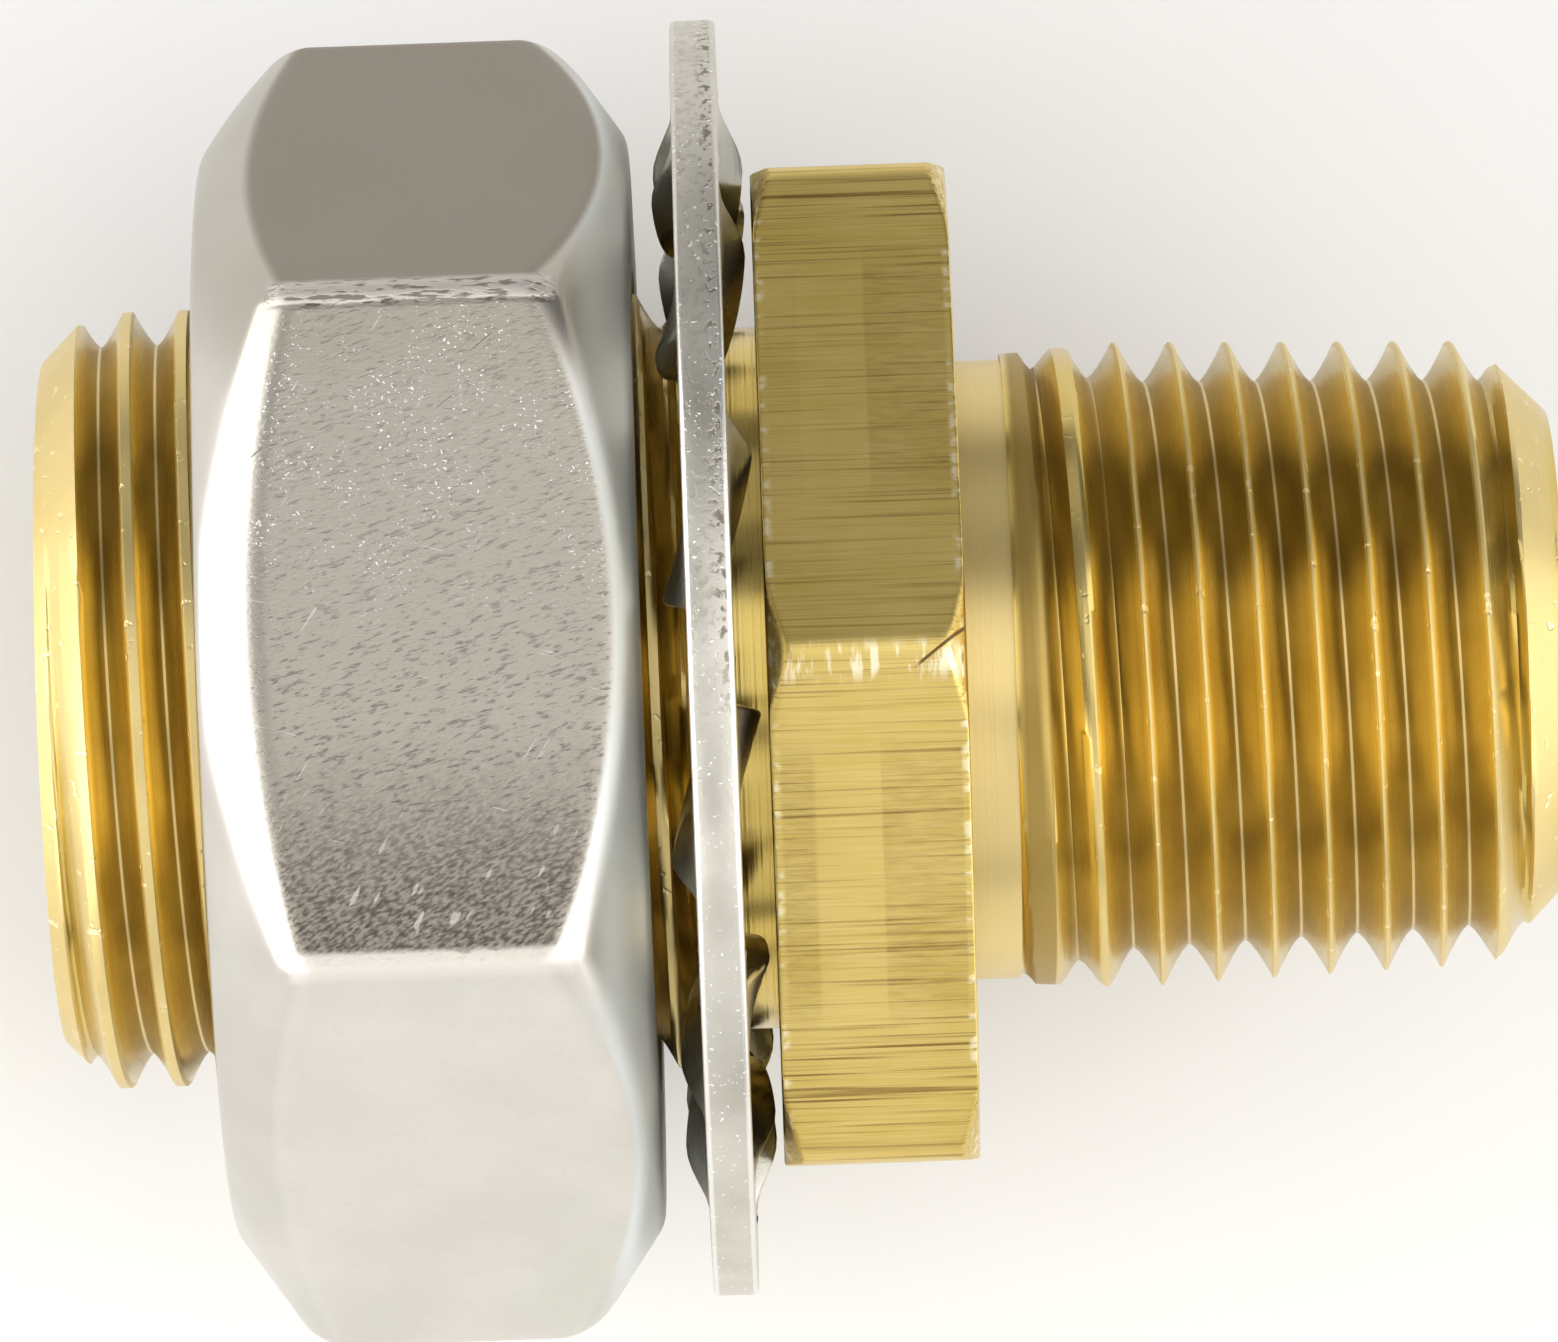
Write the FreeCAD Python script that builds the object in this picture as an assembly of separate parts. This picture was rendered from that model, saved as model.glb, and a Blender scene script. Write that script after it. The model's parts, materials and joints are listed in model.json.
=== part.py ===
import FreeCAD, Part
import math
import os

# Tank connector: a brass body turned from hexagon bar, a steel lock nut and an internal-tooth lock washer.
# The axis lies along X with the tapered pipe end towards +X, +Z is up, and the origin is on the axis at the
# seat face of the body's hexagon. Lengths are in millimetres, angles in degrees. Threads are plain surfaces
# at their crest size.

# Brass body, bulkhead side
bulkhead_crest_radius = 12.6
bulkhead_length = 23.1
bulkhead_end_chamfer = 1.5
relief_depth = 1.2
relief_width = 2.0

# Brass body, hexagon
hex_across_flats = 31.75
hex_length = 6.25
hex_edge_round = 1.3
hex_chamfer_depth = 0.55
hex_chamfer_angle = 30.0
hex_turn = 3.7

# Brass body, pipe side
pipe_crest_radius = 10.48
pipe_taper = 1.0 / 16.0
pipe_length = 19.25
pipe_end_chamfer = 2.3
neck_length = 1.63
neck_drop = 0.43
runout_length = 3.62
runout_drop = 0.25

# Flow passage through the body
bore_radius = 6.35
bore_end_chamfer = 0.5

# Lock washer
washer_thickness = 1.45
washer_bore_clearance = 0.74
washer_tooth_length = 4.26
washer_rim_width = 3.1
tooth_count = 12
tooth_twist = 17.5
tooth_belly_width = 5.5
tooth_belly_place = 0.46
slot_width = 3.0
washer_turn = -8.8
washer_touch_gap = 0.04
washer_shift_angle = 12.0
washer_to_hex_gap = 0.18

# Lock nut
nut_across_flats = 37.0
nut_thickness = 13.85
nut_turn = 30.0
nut_edge_round = 0.8
nut_outer_chamfer_width = 1.05
nut_inner_chamfer_width = 0.9
nut_chamfer_angle = 34.5
nut_countersink = 0.7
nut_thread_clearance = 0.05
nut_to_washer_gap = 0.7

ORIGIN = FreeCAD.Vector(0, 0, 0)
AXIS = FreeCAD.Vector(1, 0, 0)
UP = FreeCAD.Vector(0, 0, 1)


def tangent(angle):
    return math.tan(math.radians(angle))


def revolved(outline):
    """Solid swept by a closed outline of (x, radius) points about the X axis."""
    points = [FreeCAD.Vector(x, radius, 0) for x, radius in outline]
    face = Part.Face(Part.makePolygon(points + points[:1]))
    return face.revolve(ORIGIN, AXIS, 360)


def hexagon_bar(across_flats, start, length, turn, edge_round):
    """Hexagon bar along X with its long edges rounded, one corner at +Z before it is turned about X."""
    corner_radius = across_flats / math.sqrt(3)
    corners = []
    for index in range(6):
        angle = math.radians(60 * index + turn)
        y = -corner_radius * math.sin(angle)
        z = corner_radius * math.cos(angle)
        corners.append(FreeCAD.Vector(start, y, z))
    bar = Part.Face(Part.makePolygon(corners + corners[:1])).extrude(AXIS * length)
    long_edges = [edge for edge in bar.Edges if edge.BoundBox.XLength > length / 2]
    return bar.makeFillet(edge_round, long_edges)


def body_hexagon():
    """The body's hexagon, with its corners turned off by a shallow cone at both faces."""
    bar = hexagon_bar(hex_across_flats, 0, hex_length, hex_turn, hex_edge_round)
    sharp_corner = hex_across_flats / math.sqrt(3)
    rounded_corner = sharp_corner - hex_edge_round * (2 / math.sqrt(3) - 1)
    face_radius = rounded_corner - hex_chamfer_depth / tangent(hex_chamfer_angle)
    sharp_depth = (sharp_corner - face_radius) * tangent(hex_chamfer_angle)
    turned = revolved([
        (0, 0),
        (0, face_radius),
        (sharp_depth, sharp_corner),
        (hex_length - sharp_depth, sharp_corner),
        (hex_length, face_radius),
        (hex_length, 0),
    ])
    return bar.common(turned)


def bulkhead_spigot():
    """Crest envelope of the parallel thread, with its end chamfer and the relief beside the hexagon."""
    end = -bulkhead_length
    relief_radius = bulkhead_crest_radius - relief_depth
    return revolved([
        (end, 0),
        (end, bulkhead_crest_radius - bulkhead_end_chamfer),
        (end + bulkhead_end_chamfer, bulkhead_crest_radius),
        (-relief_width - relief_depth, bulkhead_crest_radius),
        (-relief_width, relief_radius),
        (hex_length / 2, relief_radius),
        (hex_length / 2, 0),
    ])


def pipe_spigot():
    """Neck, shallow run-out threads and the crest envelope of the tapered thread with its end chamfer."""
    neck_end = hex_length + neck_length
    full_thread = neck_end + runout_length
    end = hex_length + pipe_length
    chamfer_start = end - pipe_end_chamfer
    small_radius = pipe_crest_radius - (chamfer_start - full_thread) * pipe_taper / 2
    neck_radius = pipe_crest_radius - neck_drop
    return revolved([
        (hex_length / 2, 0),
        (hex_length / 2, neck_radius),
        (neck_end, neck_radius),
        (neck_end, pipe_crest_radius - runout_drop),
        (full_thread, pipe_crest_radius),
        (chamfer_start, small_radius),
        (end, small_radius - pipe_end_chamfer),
        (end, 0),
    ])


def flow_passage():
    """Plain through bore, opened by a small chamfer at each end."""
    start = -bulkhead_length
    end = hex_length + pipe_length
    return revolved([
        (start, 0),
        (start, bore_radius + bore_end_chamfer),
        (start + bore_end_chamfer, bore_radius),
        (end - bore_end_chamfer, bore_radius),
        (end, bore_radius + bore_end_chamfer),
        (end, 0),
    ])


def fitting_body():
    turned = body_hexagon().fuse([bulkhead_spigot(), pipe_spigot()])
    return turned.cut(flow_passage()).removeSplitter()


def washer_sizes():
    """Radii of the washer's tooth roots and rim, and half its height over the twisted teeth."""
    root = bulkhead_crest_radius + washer_bore_clearance + washer_tooth_length
    rim = root + washer_rim_width
    twist = math.radians(tooth_twist)
    half_set = tooth_belly_width / 2 * math.sin(twist) + washer_thickness / 2 * math.cos(twist)
    return root, rim, half_set


def tooth_root_width(root):
    """Width left for a tooth between two slots at their bottom."""
    half_pitch = math.radians(180.0 / tooth_count)
    return 2 * root * math.tan(half_pitch) - slot_width / math.cos(half_pitch)


def on_ray(distance, side, angle):
    """Point in the plane x = 0, at a distance along the ray at this angle from +Z and a step to its side."""
    y = -distance * math.sin(angle) - side * math.cos(angle)
    z = distance * math.cos(angle) - side * math.sin(angle)
    return FreeCAD.Vector(0, y, z)


def washer_rim(root, rim):
    """Flat ring whose inside runs straight across the root of each tooth and the bottom of each slot."""
    half_width = tooth_root_width(root) / 2
    corners = []
    for index in range(tooth_count):
        middle = math.radians(360.0 / tooth_count * index)
        corners.append(on_ray(root, -half_width, middle))
        corners.append(on_ray(root, half_width, middle))
    inside = Part.Face(Part.makePolygon(corners + corners[:1])).extrude(AXIS * washer_thickness)
    ring = Part.makeCylinder(rim, washer_thickness, ORIGIN, AXIS).cut(inside)
    ring.translate(AXIS * (-washer_thickness / 2))
    return ring


def tooth_section(height, width, twist):
    """Rectangular section of a tooth at this height on the +Z ray, turned about that ray."""
    turn = math.radians(twist)
    corners = []
    for across, through in ((-1, -1), (1, -1), (1, 1), (-1, 1)):
        side = across * width / 2
        rise = through * washer_thickness / 2
        x = rise * math.cos(turn) - side * math.sin(turn)
        y = -side * math.cos(turn) - rise * math.sin(turn)
        corners.append(FreeCAD.Vector(x, y, height))
    return Part.makePolygon(corners + corners[:1])


def washer_tooth(root):
    """One tooth: a blade that twists evenly from the flat rim to its belly, then a flat rounded end."""
    belly = root - washer_tooth_length * tooth_belly_place
    tip = root - washer_tooth_length
    root_section = tooth_section(root, tooth_root_width(root), 0)
    belly_section = tooth_section(belly, tooth_belly_width, tooth_twist)
    blade = Part.makeLoft([root_section, belly_section], True, True)
    back = -washer_thickness / 2
    left = FreeCAD.Vector(back, tooth_belly_width / 2, belly)
    right = FreeCAD.Vector(back, -tooth_belly_width / 2, belly)
    round_end = Part.Arc(left, FreeCAD.Vector(back, 0, tip), right).toShape()
    outline = Part.Wire([round_end, Part.LineSegment(right, left).toShape()])
    end = Part.Face(outline).extrude(AXIS * washer_thickness)
    end.rotate(ORIGIN, UP, -tooth_twist)
    return blade.fuse(end)


def lock_washer():
    root, rim, half_set = washer_sizes()
    tooth = washer_tooth(root)
    teeth = []
    for index in range(tooth_count):
        copy = tooth.copy()
        copy.rotate(ORIGIN, AXIS, 360.0 / tooth_count * index)
        teeth.append(copy)
    washer = washer_rim(root, rim).fuse(teeth).removeSplitter()
    washer.rotate(ORIGIN, AXIS, washer_turn)
    # the washer hangs off centre, close to touching the thread on one side
    shift = washer_bore_clearance - washer_touch_gap
    angle = math.radians(washer_shift_angle)
    middle = -washer_to_hex_gap - half_set
    washer.translate(FreeCAD.Vector(middle, shift * math.cos(angle), shift * math.sin(angle)))
    return washer


def lock_nut():
    """Hexagon nut with a cone turned on its corners at both faces, and a countersunk bore."""
    half_set = washer_sizes()[-1]
    inner_face = -washer_to_hex_gap - 2 * half_set - nut_to_washer_gap
    outer_face = inner_face - nut_thickness
    corner_radius = nut_across_flats / math.sqrt(3)
    outer_radius = nut_across_flats / 2 - nut_outer_chamfer_width
    inner_radius = nut_across_flats / 2 - nut_inner_chamfer_width
    outer_depth = (corner_radius - outer_radius) * tangent(nut_chamfer_angle)
    inner_depth = (corner_radius - inner_radius) * tangent(nut_chamfer_angle)
    blank = revolved([
        (outer_face, 0),
        (outer_face, outer_radius),
        (outer_face + outer_depth, corner_radius),
        (inner_face - inner_depth, corner_radius),
        (inner_face, inner_radius),
        (inner_face, 0),
    ])
    bar = hexagon_bar(nut_across_flats, outer_face, nut_thickness, nut_turn, nut_edge_round)
    bore = bulkhead_crest_radius + nut_thread_clearance
    hole = revolved([
        (outer_face, 0),
        (outer_face, bore + nut_countersink),
        (outer_face + nut_countersink, bore),
        (inner_face - nut_countersink, bore),
        (inner_face, bore + nut_countersink),
        (inner_face, 0),
    ])
    return bar.common(blank).cut(hole)


os.makedirs("parts", exist_ok=True)
nodes = {
    "fitting_body": fitting_body(),
    "lock_nut": lock_nut(),
    "lock_washer": lock_washer(),
}
for name, shape in nodes.items():
    shape.exportStep(f"parts/{name}.step")
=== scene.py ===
import json
import math

import bpy
import numpy as np
from mathutils import Matrix, Vector


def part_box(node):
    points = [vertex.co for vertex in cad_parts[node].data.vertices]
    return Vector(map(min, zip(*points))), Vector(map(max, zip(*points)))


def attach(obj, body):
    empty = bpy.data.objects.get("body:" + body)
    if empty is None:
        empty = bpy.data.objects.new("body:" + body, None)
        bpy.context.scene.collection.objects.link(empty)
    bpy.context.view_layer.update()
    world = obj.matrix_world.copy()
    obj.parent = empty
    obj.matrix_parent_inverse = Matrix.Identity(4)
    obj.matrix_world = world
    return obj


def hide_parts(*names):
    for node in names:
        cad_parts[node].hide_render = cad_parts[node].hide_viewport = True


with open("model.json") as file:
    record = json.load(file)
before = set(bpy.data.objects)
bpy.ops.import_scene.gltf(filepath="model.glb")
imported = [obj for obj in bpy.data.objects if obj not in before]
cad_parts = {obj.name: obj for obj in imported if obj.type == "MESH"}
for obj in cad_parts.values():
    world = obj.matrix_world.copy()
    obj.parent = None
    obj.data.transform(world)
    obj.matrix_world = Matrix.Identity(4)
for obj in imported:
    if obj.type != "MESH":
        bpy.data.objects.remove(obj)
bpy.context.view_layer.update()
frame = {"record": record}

# Tank connector: the brass body, the lock nut and the toothed lock washer, each one closed surface worked out
# with numpy. Sizes are in millimetres until a mesh is made. Angles run about X, from +Y towards +Z.
MM = 0.001
TURN = 2 * np.pi
SIXTH = TURN / 6

mounts = {mount["name"]: mount["dims"] for mount in frame["record"]["mounts"]}


def corners_of(node):
    """Lowest and highest corner of a node, in millimetres."""
    low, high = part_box(node)
    return np.array(low) / MM, np.array(high) / MM


body_low, body_high = corners_of("fitting_body")
nut_low, nut_high = corners_of("lock_nut")
washer_low, washer_high = corners_of("lock_washer")

# Both threads, right-hand, 14 to the inch, with hollow flanks
PITCH = 25.4 / 14
FLANK_POWER = 1.3
ROOT_FLAT = 0.08

# Bulkhead thread
BULKHEAD_CREST = mounts["bulkhead_thread"]["r_mm"]
BULKHEAD_CREST_AT = -20.37
BULKHEAD_CREST_FLAT = 0.34
BULKHEAD_DEPTH = 1.1
BULKHEAD_TURNS = 11
BULKHEAD_END = body_low[0]
BULKHEAD_CHAMFER = 1.5
RELIEF_DEPTH = 1.2
RELIEF_WIDTH = 2.0

# Body hexagon, with one corner near +Z
HEX_FLATS = 31.75
HEX_LENGTH = 6.25
HEX_ROUND = 1.3
HEX_TURN = 3.7
HEX_CORNER = math.radians(90 + HEX_TURN)
HEX_CHAMFER = math.radians(30)
HEX_CHAMFER_DEPTH = 0.55
HEX_EDGE = 0.1

# Pipe thread, with its neck and run-out
PIPE_CREST = mounts["pipe_thread"]["r_mm"]
PIPE_CREST_AT = 11.56
PIPE_CREST_FLAT = 0.1
PIPE_DEPTH = 1.27
PIPE_TAPER = 1 / 32
PIPE_TURNS = 9
PIPE_END = body_high[0]
PIPE_CHAMFER = 2.3
NECK_DROP = 0.43
NECK_LENGTH = 1.63
NECK_END = HEX_LENGTH + NECK_LENGTH
RUNOUT_DROP = 0.25
RUNOUT_LIFT = 0.6
RUNOUT_LENGTH = 3.62
FULL_THREAD = NECK_END + RUNOUT_LENGTH
PIPE_SMALL_END = PIPE_CREST - (PIPE_END - PIPE_CHAMFER - FULL_THREAD) * PIPE_TAPER

BORE = mounts["flow_bore"]["r_mm"]
BORE_CHAMFER = 0.5

# Lock nut, with one corner at +Y
NUT_FLATS = 2 * nut_high[2]
NUT_CORNER = 0.0
NUT_ROUND = 0.82
NUT_CHAMFER = math.radians(34.5)
NUT_OUTER_WIDTH = 1.05
NUT_INNER_WIDTH = 0.9
NUT_OUTER_BLEND = 0.75
NUT_MIDDLE_BLEND = 1.35
NUT_INNER_BLEND = 0.45
NUT_CORNER_BLEND = 0.9
NUT_FACE_EDGE = 0.2
NUT_COUNTERSINK = 0.7
NUT_BORE_GAP = 0.05
NUT_THREAD_GAP = 0.15

# Lock washer
WASHER_RIM = (washer_high[1] - washer_low[1]) / 2
WASHER_MIDDLE = (washer_low + washer_high) / 2
WASHER_THICKNESS = 1.45
WASHER_RIM_WIDTH = 3.1
WASHER_ROOT = WASHER_RIM - WASHER_RIM_WIDTH
TOOTH_COUNT = 12
TOOTH_LENGTH = 4.26
TOOTH_BELLY_WIDTH = 5.5
TOOTH_BELLY_PLACE = 0.46
TOOTH_TWIST = math.radians(17.5)
TWIST_START = 0.3
SLOT_WIDTH = 3.0
SLOT_SINK = 0.25
WASHER_TURN = math.radians(-8.8)
WASHER_EDGE = 0.16

# Divisions of the grids: columns round the axis, and rows that stand closer where a surface bends
BODY_COLUMNS = 240
NUT_COLUMNS = 264
TOOTH_COLUMNS = 49
CORNER_CROWDING = 0.6
FLANK_ROWS = np.array([0.03, 0.28, 0.55, 0.8, 1])
CREST_ROW_INSET = 0.02
RELIEF_ROWS = 9
PIPE_TIP_ROWS = 12
HEX_EDGE_ROWS = np.array([0, 0.012, 0.04, 0.08, 0.14, 0.22, 0.32, 0.42, 0.52, 0.65, 0.85, 1.2])
NUT_EDGE_ROWS = np.concatenate([[0, 0.02, 0.06, 0.11, 0.18, 0.27, 0.38, 0.5], np.linspace(0.65, 3.6, 18)])
NUT_MIDDLE_INSET = 4.5
NUT_MIDDLE_ROWS = 6
WASHER_FACE_ROWS = (0.05, 0.12, 0.2, 0.3, 0.4, 0.5, 0.62, 0.75, 0.88)

# Shares of a half tooth's outline that its tip and its flank take up; the slot has the rest
TIP_SHARE = 0.5
FLANK_SHARE = 0.22

# Points that fall together within this distance become one, and a radius is solved by this many halvings
WELD = 1e-4
HALVINGS = 40


def ring_points(x, radius, angle):
    """Points at a place along X, with Y as the radius times the cosine of the angle and Z times its sine."""
    x, radius, angle = np.broadcast_arrays(x, radius, angle)
    return np.stack([x, radius * np.cos(angle), radius * np.sin(angle)], -1)


def crowded_angles(count, corner):
    """Angles u over one turn, closer at the six corners: u minus a share of sin(6 (u - corner)) / 6."""
    even = np.linspace(0, TURN, count + 1)
    return even - CORNER_CROWDING * np.sin(6 * (even - corner)) / 6


def lathe(outline, angle):
    """Grid swept by an outline of (x, radius) points about the X axis."""
    x, radius = np.array(outline).T
    return ring_points(x[:, None], radius[:, None], angle)


def between(first, last, rows):
    """Grid of straight lines from one ring of points to another."""
    share = np.linspace(0, 1, rows)[:, None, None]
    return first + (last - first) * share


def round_max(first, second, size):
    """The larger of two distances, with the corner where they meet rounded over this size."""
    corner = np.hypot(np.maximum(first + size, 0), np.maximum(second + size, 0))
    return np.minimum(np.maximum(first, second), -size) + corner


def hexagon_distance(radius, angle, flats, corner, edge_round):
    """Distance outside a hexagon whose corners are rounded, folded onto the nearest flat."""
    inner = flats / 2 - edge_round
    off_flat = (angle - corner) % SIXTH - SIXTH / 2
    ahead = radius * np.cos(off_flat) - inner
    beside = np.abs(radius * np.sin(off_flat)) - inner * math.tan(SIXTH / 2)
    return np.where(beside > 0, np.hypot(ahead, beside), ahead) - edge_round


def cone_distance(depth, radius, face_radius, chamfer):
    """Distance outside a cone that meets an end face at a radius, at a chamfer angle from that face."""
    return (radius - face_radius) * math.sin(chamfer) - depth * math.cos(chamfer)


def solved_radius(distance, x, angle, highest):
    """Radius at which a distance function turns from inside to outside, by halving the interval."""
    x, angle = np.broadcast_arrays(x, angle)
    low = np.zeros(x.shape)
    high = np.full(x.shape, highest)
    for _ in range(HALVINGS):
        middle = (low + high) / 2
        outside = distance(x, middle, angle) > 0
        high = np.where(outside, middle, high)
        low = np.where(outside, low, middle)
    return low


def thread_drop(x, angle, crest_at, crest_flat, depth):
    """Depth below the crests of a right-hand helix: level at the crest and at the root, and between them
    hollow flanks, as one minus a power of the share of the way that is left."""
    along = x - crest_at - PITCH * angle / TURN
    from_crest = np.abs((along + PITCH / 2) % PITCH - PITCH / 2)
    share = np.clip((2 * from_crest - crest_flat) / (PITCH - crest_flat - ROOT_FLAT), 0, 1)
    return depth * (1 - (1 - share) ** FLANK_POWER)


def helix_grids(start, turns, angle, crest_at, crest_flat, radius_of):
    """Grids of a thread over a whole number of turns, with rows that climb one pitch in each turn.

    The rows stand at set distances from the crest, so crests and roots stay sharp. At each end a fan of rows
    grows from nothing to one pitch, and closes the slanted edge to a flat ring.
    """
    half_crest = crest_flat / 2
    flank = half_crest + (PITCH / 2 - ROOT_FLAT / 2 - half_crest) * FLANK_ROWS
    land = half_crest - CREST_ROW_INSET
    keys = np.concatenate([-flank, [-land, land], flank])
    first_crest = (crest_at + PITCH * angle[0] / TURN - start) / PITCH
    phases = np.unique(np.append((first_crest + keys / PITCH) % 1, 0))
    share = (angle - angle[0]) / TURN
    fan = np.append(phases, 1)[:, None]
    rows = np.append((np.arange(turns - 1)[:, None] + phases).ravel(), turns - 1)[:, None]
    places = (share * fan, rows + share, turns - 1 + share + (1 - share) * fan)
    grids = []
    for place in places:
        x = start + PITCH * place
        grids.append(ring_points(x, radius_of(x, angle), angle))
    return grids


def bulkhead_radius(x, angle):
    """Bulkhead thread, cut by the 45 degree chamfer at its end and the 45 degree cone of the relief."""
    drop = thread_drop(x, angle, BULKHEAD_CREST_AT, BULKHEAD_CREST_FLAT, BULKHEAD_DEPTH)
    chamfer = BULKHEAD_CREST - BULKHEAD_CHAMFER + x - BULKHEAD_END
    relief = np.maximum(BULKHEAD_CREST - RELIEF_DEPTH, BULKHEAD_CREST - RELIEF_DEPTH - RELIEF_WIDTH - x)
    return np.minimum(np.minimum(BULKHEAD_CREST - drop, chamfer), relief)


def pipe_radius(x, angle):
    """Tapered thread, whose grooves rise out of the bar towards the neck, cut by the chamfer at its end."""
    missing = np.clip((FULL_THREAD - x) / (FULL_THREAD - NECK_END), 0, 1)
    crest = PIPE_CREST - (x - FULL_THREAD) * PIPE_TAPER
    bar = np.minimum(crest, PIPE_CREST - RUNOUT_DROP * missing)
    drop = thread_drop(x, angle, PIPE_CREST_AT, PIPE_CREST_FLAT, PIPE_DEPTH)
    chamfer = PIPE_SMALL_END - PIPE_CHAMFER + PIPE_END - x
    return np.minimum(np.minimum(crest - drop + RUNOUT_LIFT * missing, bar), chamfer)


def hexagon_radius(x, angle):
    """Body hexagon: rounded corners, a shallow cone at each face, and softened edges."""
    sharp_corner = HEX_FLATS / math.sqrt(3)
    rounded_corner = sharp_corner - HEX_ROUND * (2 / math.sqrt(3) - 1)
    face_radius = rounded_corner - HEX_CHAMFER_DEPTH / math.tan(HEX_CHAMFER)

    def distance(x, radius, angle):
        bar = hexagon_distance(radius, angle, HEX_FLATS, HEX_CORNER, HEX_ROUND)
        seat_cone = cone_distance(x, radius, face_radius, HEX_CHAMFER)
        pipe_cone = cone_distance(HEX_LENGTH - x, radius, face_radius, HEX_CHAMFER)
        turned = round_max(bar, np.maximum(seat_cone, pipe_cone), HEX_EDGE)
        return round_max(turned, np.abs(x - HEX_LENGTH / 2) - HEX_LENGTH / 2, HEX_EDGE)

    return solved_radius(distance, x, angle, sharp_corner)


def body_grids():
    """Grids of the brass body in order round its section, from the bulkhead end, outside first."""
    angle = crowded_angles(BODY_COLUMNS, HEX_CORNER)
    thread = helix_grids(
        BULKHEAD_END, BULKHEAD_TURNS, angle, BULKHEAD_CREST_AT, BULKHEAD_CREST_FLAT, bulkhead_radius
    )
    relief_x = np.linspace(BULKHEAD_END + BULKHEAD_TURNS * PITCH, -RELIEF_WIDTH, RELIEF_ROWS)[:, None]
    relief = ring_points(relief_x, bulkhead_radius(relief_x, angle), angle)
    relief_radius = BULKHEAD_CREST - RELIEF_DEPTH
    seat_corner = lathe([(x, relief_radius) for x in (-RELIEF_WIDTH, -RELIEF_WIDTH / 2, 0)], angle)
    hex_x = np.concatenate([HEX_EDGE_ROWS, [HEX_LENGTH / 2], HEX_LENGTH - HEX_EDGE_ROWS[::-1]])[:, None]
    sides = ring_points(hex_x, hexagon_radius(hex_x, angle), angle)
    seat = between(seat_corner[-1], sides[0], rows=4)
    neck_radius = PIPE_CREST - NECK_DROP
    neck = lathe([(HEX_LENGTH, neck_radius), (NECK_END, neck_radius)], angle)
    shoulder = between(sides[-1], neck[0], rows=4)
    pipe_thread = helix_grids(NECK_END, PIPE_TURNS, angle, PIPE_CREST_AT, PIPE_CREST_FLAT, pipe_radius)
    step = between(neck[-1], pipe_thread[0][0], rows=2)
    tip_x = np.linspace(NECK_END + PIPE_TURNS * PITCH, PIPE_END, PIPE_TIP_ROWS)[:, None]
    tip = ring_points(tip_x, pipe_radius(tip_x, angle), angle)
    mouth = BORE + BORE_CHAMFER
    pipe_mouth = lathe([(PIPE_END, mouth), (PIPE_END - BORE_CHAMFER, BORE)], angle)
    pipe_face = between(tip[-1], pipe_mouth[0], rows=3)
    tank_mouth = lathe([(BULKHEAD_END + BORE_CHAMFER, BORE), (BULKHEAD_END, mouth)], angle)
    bore = between(pipe_mouth[-1], tank_mouth[0], rows=12)
    tank_face = between(tank_mouth[-1], thread[0][0], rows=4)
    return [
        *thread, relief, seat_corner, seat, sides, shoulder, neck, step,
        *pipe_thread, tip, pipe_face, pipe_mouth, bore, tank_mouth, tank_face,
    ]


def nut_radius(x, angle):
    """Lock nut: hexagon and two cones, with a wide soft blend on the outer side and domed corners."""
    outer_radius = NUT_FLATS / 2 - NUT_OUTER_WIDTH
    inner_radius = NUT_FLATS / 2 - NUT_INNER_WIDTH
    off_flat = np.abs((angle - NUT_CORNER) % SIXTH - SIXTH / 2) / (SIXTH / 2)
    outer_blend = NUT_MIDDLE_BLEND + (NUT_OUTER_BLEND - NUT_MIDDLE_BLEND) * off_flat ** 2
    inner_blend = NUT_INNER_BLEND + (NUT_CORNER_BLEND - NUT_INNER_BLEND) * off_flat ** 4

    def distance(x, radius, angle):
        bar = hexagon_distance(radius, angle, NUT_FLATS, NUT_CORNER, NUT_ROUND)
        outer_cone = cone_distance(x - nut_low[0], radius, outer_radius, NUT_CHAMFER)
        inner_cone = cone_distance(nut_high[0] - x, radius, inner_radius, NUT_CHAMFER)
        blank = round_max(round_max(bar, outer_cone, outer_blend), inner_cone, inner_blend)
        faces = np.maximum(nut_low[0] - x, x - nut_high[0])
        return round_max(blank, faces, NUT_FACE_EDGE)

    return solved_radius(distance, x, angle, NUT_FLATS / math.sqrt(3))


def nut_thread_radius(x, angle):
    """Internal thread: the bulkhead thread's own helix, opened by a clearance and the two countersinks."""
    drop = thread_drop(x, angle, BULKHEAD_CREST_AT, BULKHEAD_CREST_FLAT, BULKHEAD_DEPTH)
    thread = BULKHEAD_CREST - drop + NUT_THREAD_GAP
    from_face = np.minimum(x - nut_low[0], nut_high[0] - x)
    return np.maximum(thread, BULKHEAD_CREST + NUT_BORE_GAP + NUT_COUNTERSINK - from_face)


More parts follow.
